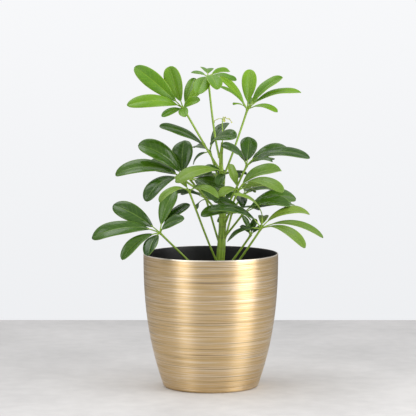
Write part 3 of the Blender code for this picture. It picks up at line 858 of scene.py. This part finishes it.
def make_vein_group():
    """Masks for a leaflet's midrib, its side veins and its edge, from the blade's own UV map."""
    group = bpy.data.node_groups.new("leaf_veins", "ShaderNodeTree")
    spacing = group.interface.new_socket(name="Vein Count", in_out="INPUT", socket_type="NodeSocketFloat")
    spacing.default_value = VEIN_COUNT
    for name in ("Midrib", "Side Veins", "Edge"):
        group.interface.new_socket(name=name, in_out="OUTPUT", socket_type="NodeSocketFloat")
    entry = group.nodes.new("NodeGroupInput")
    leave = group.nodes.new("NodeGroupOutput")
    own_map = group.nodes.new("ShaderNodeUVMap")
    spot = add_node(group, "ShaderNodeSeparateXYZ", {"Vector": own_map.outputs["UV"]})
    along, across = spot.outputs["X"], spot.outputs["Y"]
    off_middle = math_node(group, "ABSOLUTE", math_node(group, "SUBTRACT", across, 0.5))
    taper = math_node(group, "SUBTRACT", MIDRIB_WIDTH, math_node(group, "MULTIPLY", along, MIDRIB_TAPER))
    midrib = add_node(group, "ShaderNodeMapRange", {"Value": off_middle, "From Min": 0.0, "From Max": taper,
                                                    "To Min": 1.0, "To Max": 0.0})
    climb = math_node(group, "SUBTRACT", along, math_node(group, "MULTIPLY", off_middle, VEIN_LEAN))
    wave = math_node(group, "MULTIPLY", climb, entry.outputs["Vein Count"])
    beat = math_node(group, "ABSOLUTE", math_node(group, "SUBTRACT", math_node(group, "FRACT", wave), 0.5))
    veins = add_node(group, "ShaderNodeMapRange", {"Value": beat, "From Min": 0.0, "From Max": VEIN_WIDTH,
                                                   "To Min": 1.0, "To Max": 0.0})
    edge = add_node(group, "ShaderNodeMapRange", {"Value": off_middle, "From Min": 0.45, "From Max": 0.49,
                                                  "To Min": 0.0, "To Max": 1.0})
    group.links.new(midrib.outputs["Result"], leave.inputs["Midrib"])
    group.links.new(veins.outputs["Result"], leave.inputs["Side Veins"])
    group.links.new(edge.outputs["Result"], leave.inputs["Edge"])
    return group


VEINS = make_vein_group()
print("group:", VEINS.name)

# %% [markdown]
# A leaf material mixes a deep and a fresh green by mottling and by the blade's own `tone`, a number that
# each leaflet gets when it is made, so that no two leaflets of a whorl have quite the same green. The veins
# are mixed in on top and pressed into the upper side, and they are raised on the underside.

# %% Leaf materials
FAINTNESS = 0.35               # how clearly a side vein shows, next to the midrib
EDGE_SHOW = 0.7                # how much of the veins' colour the thin edge has


def leaf_face(name, deep, fresh, vein_colour, roughness, vein_show, relief):
    """One side of a blade: mottled green, veins drawn in, and its own gloss."""
    made, tree, shader = new_material(name, fresh, roughness, Specular_IOR_Level=0.42)
    veins = tree.nodes.new("ShaderNodeGroup")
    veins.node_tree = VEINS
    tone = add_node(tree, "ShaderNodeAttribute", attribute_name="tone").outputs["Fac"]
    cloud = mottle(tree, 70.0, 900.0, 0.3)
    blend = math_node(tree, "ADD", math_node(tree, "MULTIPLY", cloud, 0.6),
                      math_node(tree, "MULTIPLY", tone, 0.5))
    colour = ramp(tree, blend, (0.25, deep), (0.85, fresh))
    faint = math_node(tree, "MULTIPLY", veins.outputs["Side Veins"], vein_show * FAINTNESS)
    strong = math_node(tree, "MULTIPLY", veins.outputs["Midrib"], vein_show)
    shown = math_node(tree, "MAXIMUM", faint, strong)
    colour = mix_colour(tree, shown, colour, vein_colour)
    rim = math_node(tree, "MULTIPLY", veins.outputs["Edge"], EDGE_SHOW)
    colour = mix_colour(tree, rim, colour, vein_colour)
    tree.links.new(colour, shader.inputs["Base Color"])
    ridges = math_node(tree, "MAXIMUM", math_node(tree, "MULTIPLY", veins.outputs["Side Veins"], 0.4),
                       veins.outputs["Midrib"])
    height = math_node(tree, "ADD", math_node(tree, "MULTIPLY", ridges, relief),
                       math_node(tree, "MULTIPLY", cloud, 0.5))
    bump(tree, shader, height, 0.35, 0.0004)
    return made


# each side of a blade: its deep green, its fresh green, its veins' colour,
# then its roughness, how much the veins show and how far they stand out
LEAF_FINISHES = {
    "bright": (leaf_face("fresh_leaf_top", (0.06, 0.18, 0.001), (0.17, 0.34, 0.002), (0.32, 0.48, 0.04),
                         0.40, 0.5, -0.6),
               leaf_face("fresh_leaf_under", (0.11, 0.27, 0.02), (0.20, 0.38, 0.05), (0.34, 0.50, 0.14),
                         0.55, 0.7, 1.0)),
    "light": (leaf_face("light_leaf_top", (0.065, 0.155, 0.006), (0.18, 0.29, 0.025), (0.32, 0.44, 0.09),
                        0.38, 0.5, -0.6),
              leaf_face("light_leaf_under", (0.13, 0.25, 0.045), (0.22, 0.34, 0.085), (0.34, 0.46, 0.17),
                        0.58, 0.7, 1.0)),
    "dark": (leaf_face("dark_leaf_top", (0.012, 0.048, 0.002), (0.058, 0.142, 0.006), (0.20, 0.33, 0.05),
                       0.20, 0.55, -0.6),
             leaf_face("dark_leaf_under", (0.05, 0.105, 0.03), (0.10, 0.18, 0.06), (0.20, 0.30, 0.11),
                       0.55, 0.7, 1.0)),
    "young": (leaf_face("young_leaf_top", (0.45, 0.50, 0.10), (0.62, 0.62, 0.20), (0.7, 0.7, 0.35),
                        0.5, 0.3, -0.4),
              leaf_face("young_leaf_under", (0.45, 0.48, 0.14), (0.6, 0.58, 0.26), (0.7, 0.7, 0.35),
                        0.55, 0.4, 0.6)),
}
print("leaf finishes:", ", ".join(LEAF_FINISHES))

# %% [markdown]
# ## The leaflets
#
# A leaflet follows an arc that starts at the knob and ends at its tip. Its blade starts as a flat grid, and
# each vertex is carried from there: its place along gives a point on the arc, and its place across gives a
# distance from the midrib, which the blade's outline scales. Two powers multiplied give the outline: one
# shapes the base and the other the tip.

# %% Leaflet shape
STALK_SHARE = 0.20             # part of a leaflet's length that is bare stalk
BLADE_TAPER = 0.9              # 1 tapers straight to the blade's base; less makes the base rounder
BLADE_TIP = 0.55               # 0.5 is a round tip; more makes it pointed
BROADEST_AT = BLADE_TAPER / (BLADE_TAPER + BLADE_TIP)


def leaflet_arc(reach, facing, bend, share):
    """Point, direction across, and direction out of the face, at a share of the way along a leaflet."""
    along = reach.normalized()
    above = (facing - facing.dot(along) * along).normalized()
    radius = reach.length / (2 * sin(bend / 2))
    turn = bend * (share - 0.5)
    forward = reach.length / 2 + radius * sin(turn)
    rise = radius * (cos(turn) - cos(bend / 2))
    across = above.cross(along)
    return along * forward + above * rise, across, along * sin(turn) + above * cos(turn)


def blade_outline(share):
    """A blade's width at a share of its length, over its greatest width."""
    peak = BROADEST_AT ** BLADE_TAPER * (1 - BROADEST_AT) ** BLADE_TIP
    return share ** BLADE_TAPER * (1 - share) ** BLADE_TIP / peak


print("a blade is broadest at", round(BROADEST_AT, 2), "of its length")

# %% [markdown]
# ### What makes it look grown
#
# A blade cut from card would be flat. A real one has a shallow fold along the midrib, edges that roll down,
# a slow wave, and a slight twist that is different for every leaflet. Fold, twist, wave and tone come from
# noise read at the leaflet's number, so they stay the same from run to run.

# %% Blade
BLADE_ROWS = 26                # rows of faces from base to tip
BLADE_COLUMNS = 12             # faces from edge to edge
BLADE_START = STALK_SHARE - 0.03     # a blade overlaps its little stalk a little
FOLD_SLOPE, FOLD_CHANGE = 0.50, 0.20     # slope of the fold, and how much it differs between leaflets
EDGE_ROLL = 0.32               # how far the edges roll down again
MOST_TWIST = radians(14)
WAVE_HEIGHT = 0.5 * MM
WAVE_COUNT = 1.6               # waves along an edge
WAVE_LAG = 1.2                 # radians between the waves of the two edges
POINT_WIDTH = 0.004            # the sheet stops this share short of both points, so that they stay clean
FOLD, TWIST, WAVE, BEAT, TONE, SIZE, PITCH, ROLL = range(1, 9)     # kinds of change


def chance(number, part, kind):
    """A steady number between -1 and 1: noise, read so far apart that neighbours have nothing in common."""
    spot = (number * 3.7 + 0.4, part * 2.9 + 0.7, kind * 5.3)
    return max(-1.0, min(1.0, 2.2 * noise.noise(spot)))


def add_blade(shape, leaf_number, number, leaflet, facing, finish):
    """Shape one leaflet's blade from a flat grid."""
    reach, bend = Vector(leaflet[:3]) * MM, radians(leaflet[3])
    half_length = reach.length * (1 - STALK_SHARE) / 2
    broadest = half_length * leaflet[4] / 100
    fold = FOLD_SLOPE + FOLD_CHANGE * chance(leaf_number, number, FOLD)
    twist = MOST_TWIST * chance(leaf_number, number, TWIST)
    wave = WAVE_HEIGHT * (1 + chance(leaf_number, number, WAVE))
    beat = 3 * chance(leaf_number, number, BEAT)

    def place(along, across):
        edgeways = 2 * across - 1
        half_width = broadest * blade_outline(POINT_WIDTH + (1 - 2 * POINT_WIDTH) * along)
        middle, sideways, upward = leaflet_arc(reach, facing, bend, BLADE_START + along * (1 - BLADE_START))
        turn = twist * along * along
        tilted = sideways * cos(turn) + upward * sin(turn)
        raised = upward * cos(turn) - sideways * sin(turn)
        rise = half_width * (fold * abs(edgeways) - EDGE_ROLL * edgeways ** 2)
        lag = WAVE_LAG if edgeways > 0 else 0
        rise += wave * sin(2 * pi * (WAVE_COUNT * along + beat) + lag) * edgeways ** 2 * along
        return middle + tilted * half_width * edgeways + raised * rise

    tone = shape.verts.layers.float["tone"]
    for corner in add_sheet(shape, BLADE_ROWS, BLADE_COLUMNS, place, finish):
        corner[tone] = 0.5 + 0.5 * chance(leaf_number, number, TONE)


print("faces of one blade:", BLADE_ROWS * BLADE_COLUMNS)

# %% [markdown]
# ### From blades to a whorl
#
# All blades of a leaf are laid in one mesh, and a Solidify modifier gives them their thickness at once. It
# also gives the underside the material that follows the upper side's in the list, which is why each tone's
# two materials stand next to each other. The little stalks are rods along the same arcs, and they meet in a
# knob.

# %% Whorls
TOP, UNDER, DARK_TOP, DARK_UNDER, KNOB_SKIN = range(5)     # a whorl's material slots
BLADE_THICKNESS = 0.45 * MM
YOUNG_THICKNESS = 0.7          # a young leaf's blades have this share of a grown one's thickness,
YOUNG_SCALE = 0.5              # and its knob and little stalks this share of the size
LEAFLET_STALK_RADIUS = 0.62 * MM
LEAFLET_STALK_STEPS = 8
LEAFLET_STALK_SIDES = 8
STALK_OVERLAP = 0.02           # a little stalk runs on under its blade by this share of the leaflet
FOOT_FLARE, FOOT_REACH = 0.35, 1.5   # how much wider it is at the knob, and for how many steps
KNOB_RADIUS = 1.7 * MM
KNOB_FLATNESS = 0.7


def leaflet_stalk_route(reach, facing, bend):
    """The bare part of a leaflet's arc, from inside the knob to a little way under the blade."""
    end = STALK_SHARE + STALK_OVERLAP
    shares = [end * step / LEAFLET_STALK_STEPS for step in range(LEAFLET_STALK_STEPS + 1)]
    return [leaflet_arc(reach, facing, bend, share)[0] for share in shares]


def build_blades(leaf_number, leaf, finishes):
    """All blades of one leaf with their thickness, as a bmesh, with the knob at the origin."""
    blades = bmesh.new()
    blades.verts.layers.float.new("tone")
    facing = Vector(leaf["facing"]).normalized()
    for number, leaflet in enumerate(leaf["leaflets"]):
        finish = DARK_TOP if number in leaf.get("dark", ()) else TOP
        add_blade(blades, leaf_number, number, leaflet, facing, finish)
    sheet_mesh = bpy.data.meshes.new("blades")
    blades.to_mesh(sheet_mesh)
    blades.free()
    sheet = new_object("blades", sheet_mesh, *finishes)
    thick = sheet.modifiers.new("Thickness", "SOLIDIFY")
    thick.thickness = BLADE_THICKNESS * (YOUNG_THICKNESS if leaf["tone"] == "young" else 1.0)
    thick.offset = 0.0
    thick.material_offset = 1
    thick.material_offset_rim = 0
    bpy.context.view_layer.update()
    solid = bpy.data.meshes.new_from_object(sheet.evaluated_get(bpy.context.evaluated_depsgraph_get()))
    bpy.data.objects.remove(sheet)
    whorl = bmesh.new()
    whorl.from_mesh(solid)
    return whorl


def build_whorl(leaf_number, name, leaf):
    """All of one leaf's leaflets, their little stalks and the knob that they grow from."""
    finishes = (*LEAF_FINISHES[leaf["tone"]], *LEAF_FINISHES["dark"], STALK_SKIN)
    whorl = build_blades(leaf_number, leaf, finishes)
    facing = Vector(leaf["facing"]).normalized()
    scale = YOUNG_SCALE if leaf["tone"] == "young" else 1.0
    for leaflet in leaf["leaflets"]:
        route = leaflet_stalk_route(Vector(leaflet[:3]) * MM, facing, radians(leaflet[3]))
        flares = [1 + FOOT_FLARE * exp(-step / FOOT_REACH) for step in range(len(route))]
        widths = [LEAFLET_STALK_RADIUS * scale * flare for flare in flares]
        add_rod(whorl, route, widths, LEAFLET_STALK_SIDES, KNOB_SKIN)
    knob = bmesh.ops.create_uvsphere(whorl, u_segments=16, v_segments=10, radius=KNOB_RADIUS * scale)["verts"]
    flatten = Matrix.Diagonal((1, 1, KNOB_FLATNESS)).to_4x4()
    lean = facing.to_track_quat("Z", "Y").to_matrix().to_4x4()
    bmesh.ops.transform(whorl, matrix=lean @ flatten, verts=knob)
    for face in {face for corner in knob for face in corner.link_faces}:
        face.smooth = True
        face.material_index = KNOB_SKIN
    bmesh.ops.translate(whorl, vec=Vector(leaf["knob"]) * MM, verts=whorl.verts)
    mesh = bpy.data.meshes.new(f"leaf_{name}")
    whorl.to_mesh(mesh)
    whorl.free()
    return new_object(mesh.name, mesh, *finishes)


for leaf_number, (name, leaf) in enumerate(LEAVES.items()):
    whorl = build_whorl(leaf_number, name, leaf)
    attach(whorl, "root")
    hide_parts(f"leaflets_{name}")
    print(name, "faces:", len(whorl.data.polygons))

# %% [markdown]
# ## The nursery pot and the potting mix
#
# Deep inside stands the black nursery pot. Its shape in the CAD model is right, so it stays and only gets
# its finish. The potting mix in it is dark peat with bark chips and a few white grains of perlite, and each
# of the three is a rough material of its own.

# %% Soil finishes
def potting_mix():
    """Dark peat: three browns and a rough surface."""
    made, tree, shader = new_material("potting_mix", (0.035, 0.024, 0.015), 0.95)
    value = mottle(tree, 160.0, 900.0, 0.55)
    colour = ramp(tree, value, (0.3, (0.012, 0.008, 0.005)), (0.55, (0.05, 0.033, 0.02)),
                  (0.75, (0.10, 0.07, 0.045)))
    tree.links.new(colour, shader.inputs["Base Color"])
    bump(tree, shader, value, 1.0, 0.002)
    return made


def crumb_finish(name, deep, fresh):
    """Bark or perlite: two close tones and a rough surface."""
    made, tree, shader = new_material(name, fresh, 0.9)
    value = mottle(tree, 400.0, 2000.0, 0.5)
    tree.links.new(ramp(tree, value, (0.35, deep), (0.65, fresh)), shader.inputs["Base Color"])
    bump(tree, shader, value, 0.6, 0.0006)
    return made


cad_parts["grow_pot"].material_slots[0].material = BLACK
PEAT = potting_mix()
BARK = crumb_finish("bark", (0.035, 0.02, 0.01), (0.12, 0.07, 0.035))
PERLITE = crumb_finish("perlite", (0.55, 0.53, 0.48), (0.75, 0.73, 0.68))
print("soil finishes:", PEAT.name, BARK.name, PERLITE.name)

# %% [markdown]
# ### The root ball
#
# It is turned from a half section, like the pot. Noise lifts and lowers the corners of its top, and crumbs
# lie there, flattened and turned every way. They are set out along a sunflower's spiral, which spreads them
# evenly without any list of places: each one is a golden turn further round, and the square root keeps them
# as close together at the edge as in the middle.

# %% Root ball
SOIL_LOW, SOIL_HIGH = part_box("potting_soil")
SOIL_RADIUS = SOIL_HIGH[0]
SOIL_BASE_RADIUS = 41 * MM
SOIL_DISH = 4 * MM             # how much lower the soil is round its edge
SOIL_RINGS, SOIL_STEPS = 26, 90      # corners across its top and round it
LUMP_HEIGHT = 1.2 * MM
LUMPS, SMALL_LUMPS = 170, 420  # how closely the lumps lie, by the metre
SETTLING = 0.6                 # lowers the lumpy top, so that no lump stands above the CAD model's soil
CRUMBS = 260
CRUMB_RADIUS = 1.0 * MM
CRUMB_SPREAD = 0.95            # the outermost crumb, as a share of the soil's radius
CRUMB_DEPTH = 0.6 * MM         # how deep a crumb's middle lies
PERLITE_EVERY = 9
GOLDEN_TURN = radians(137.5)


def soil_height(radius):
    """The soil's top: a shallow dome that falls away to the nursery pot's wall."""
    return SOIL_HIGH[2] - SOIL_DISH * (radius / SOIL_RADIUS) ** 2


def turn_root_ball():
    """The root ball's plain shape."""
    radii = [SOIL_RADIUS * ring / SOIL_RINGS for ring in range(SOIL_RINGS + 1)]
    outline = [(radius, soil_height(radius)) for radius in radii]
    outline += [(SOIL_BASE_RADIUS, SOIL_LOW[2]), (0, SOIL_LOW[2])]
    return spin_solid("potting_mix", outline, SOIL_STEPS, PEAT, BARK, PERLITE)


def roughen(shape):
    """Lumps on the top, fading out towards the nursery pot's wall."""
    for corner in shape.verts:
        inside = 1 - (corner.co.xy.length / SOIL_RADIUS) ** 6
        if corner.co.z > SOIL_HIGH[2] - 1.2 * SOIL_DISH and inside > 0:
            lump = noise.noise(corner.co * LUMPS) + 0.5 * noise.noise(corner.co * SMALL_LUMPS)
            corner.co.z += LUMP_HEIGHT * inside * (lump - SETTLING)


def add_crumb(shape, number):
    """One bark chip, or now and then a grain of perlite."""
    radius = SOIL_RADIUS * CRUMB_SPREAD * ((number + 0.5) / CRUMBS) ** 0.5
    turn = number * GOLDEN_TURN
    crumb = bmesh.ops.create_icosphere(shape, subdivisions=1, radius=CRUMB_RADIUS)["verts"]
    size = 0.7 + 0.5 * chance(number, 1, SIZE)
    flatten = Matrix.Diagonal((1.5 * size, size, 0.6 * size, 1))
    tilt = Euler((chance(number, 2, PITCH), chance(number, 3, ROLL), turn * 3)).to_matrix().to_4x4()
    middle = (radius * cos(turn), radius * sin(turn), soil_height(radius) - CRUMB_DEPTH)
    bmesh.ops.transform(shape, matrix=Matrix.Translation(middle) @ tilt @ flatten, verts=crumb)
    for face in {face for corner in crumb for face in corner.link_faces}:
        face.material_index = 2 if number % PERLITE_EVERY == 4 else 1


def build_soil():
    """A turned root ball with a lumpy top and crumbs on it."""
    ball = turn_root_ball()
    shape = bmesh.new()
    shape.from_mesh(ball.data)
    roughen(shape)
    for number in range(CRUMBS):
        add_crumb(shape, number)
    shape.to_mesh(ball.data)
    shape.free()
    return ball


soil = build_soil()
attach(soil, "root")
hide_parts("potting_soil")
print("soil faces:", len(soil.data.polygons), "crumbs:", CRUMBS)
